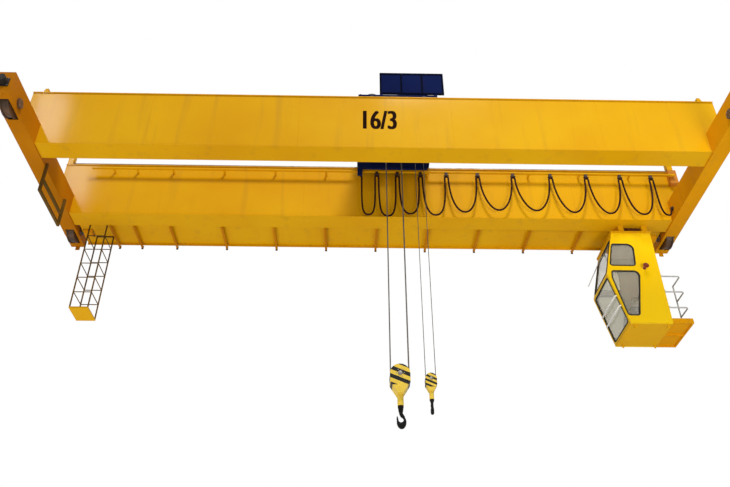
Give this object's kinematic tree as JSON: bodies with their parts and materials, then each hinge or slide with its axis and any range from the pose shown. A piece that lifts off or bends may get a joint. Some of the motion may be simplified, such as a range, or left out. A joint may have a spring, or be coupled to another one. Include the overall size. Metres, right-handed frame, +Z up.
{
  "type": "double girder overhead crane",
  "caption": "Double girder overhead travelling crane with trolley, main and auxiliary hooks, festoon cable, operator cab, walkway and inspection cage.",
  "frame": {"origin": "middle of the crane at rail-head level, where the wheel treads stand on the runway rails", "axes": "+X along the girders towards the cab, +Y from the plain girder to the girder with the walkway, +Z up"},
  "size_m": [13.6, 5.002, 7.3773],
  "materials": {
    "yellow_paint": "gloss",
    "rail_steel": "worn",
    "dark_iron": "satin",
    "machine_paint": "satin",
    "navy_paint": "satin",
    "rope_wire": "satin",
    "black_rubber": "matte",
    "carrier_metal": "satin",
    "window_glass": "gloss",
    "grey_paint": "satin",
    "red_paint": "satin",
    "seat_vinyl": "matte"
  },
  "bodies": {
    "bridge": {"girder_near": "yellow_paint", "girder_far": "yellow_paint", "trolley_rail_near": "rail_steel", "trolley_rail_far": "rail_steel", "end_stops_left": "yellow_paint", "end_stops_right": "yellow_paint", "carriage_left": "yellow_paint", "carriage_right": "yellow_paint", "wheels_left": "dark_iron", "wheels_right": "dark_iron", "buffers": "black_rubber", "walkway": "yellow_paint", "walkway_railing": "yellow_paint", "drive_left": "yellow_paint", "drive_right": "yellow_paint", "collector_frame": "yellow_paint", "cage_near_side": "yellow_paint", "cage_far_side": "yellow_paint", "cage_left_side": "yellow_paint", "cage_right_side": "yellow_paint", "cage_floor": "yellow_paint", "cab_near_wall": "yellow_paint", "cab_far_wall": "yellow_paint", "cab_back_wall": "yellow_paint", "cab_front_upper": "yellow_paint", "cab_front_lower": "yellow_paint", "cab_floor": "yellow_paint", "cab_roof": "yellow_paint", "cab_glass_near": "window_glass", "cab_glass_far": "window_glass", "cab_glass_upper": "window_glass", "cab_glass_lower": "window_glass", "cab_hangers": "yellow_paint", "cab_platform": "yellow_paint", "cab_guard_rail": "grey_paint", "cab_horn": "red_paint", "cab_seat": "seat_vinyl", "festoon_track": "yellow_paint", "festoon_carriers": "carrier_metal", "festoon_cable": "black_rubber"},
    "trolley": {"trolley_side_near": "navy_paint", "trolley_side_far": "navy_paint", "trolley_cross_beams": "navy_paint", "trolley_deck": "navy_paint", "trolley_wheels": "dark_iron", "main_drum": "machine_paint", "aux_drum": "machine_paint", "hoist_drives": "machine_paint", "trolley_guard": "navy_paint", "tow_arm": "navy_paint", "rope_anchors": "machine_paint", "main_ropes": "rope_wire", "aux_ropes": "rope_wire"},
    "main_block_body": {"main_block": "yellow_paint", "main_sheaves": "dark_iron"},
    "main_hook_body": {"main_hook": "dark_iron"},
    "aux_block_body": {"aux_block": "yellow_paint", "aux_sheave": "dark_iron"},
    "aux_hook_body": {"aux_hook": "dark_iron"}
  },
  "joints": [
    {"name": "trolley_travel", "type": "slide", "parent": "bridge", "child": "trolley", "axis": [1, 0, 0], "range_m": [-6, 5.2], "deforming": ["festoon_cable", "festoon_carriers"]},
    {"name": "main_hoist", "type": "slide", "parent": "trolley", "child": "main_block_body", "axis": [0, 0, 1], "range_m": [0, 4.6], "deforming": ["main_ropes"]},
    {"name": "aux_hoist", "type": "slide", "parent": "trolley", "child": "aux_block_body", "axis": [0, 0, 1], "range_m": [0, 4.8], "deforming": ["aux_ropes"]},
    {"name": "main_hook_swivel", "type": "hinge", "parent": "main_block_body", "child": "main_hook_body", "pos_m": [0.42, 0, -4.5], "axis": [0, 0, 1], "continuous": true},
    {"name": "aux_hook_swivel", "type": "hinge", "parent": "aux_block_body", "child": "aux_hook_body", "pos_m": [0.955, 0, -4.4], "axis": [0, 0, 1], "continuous": true}
  ]
}
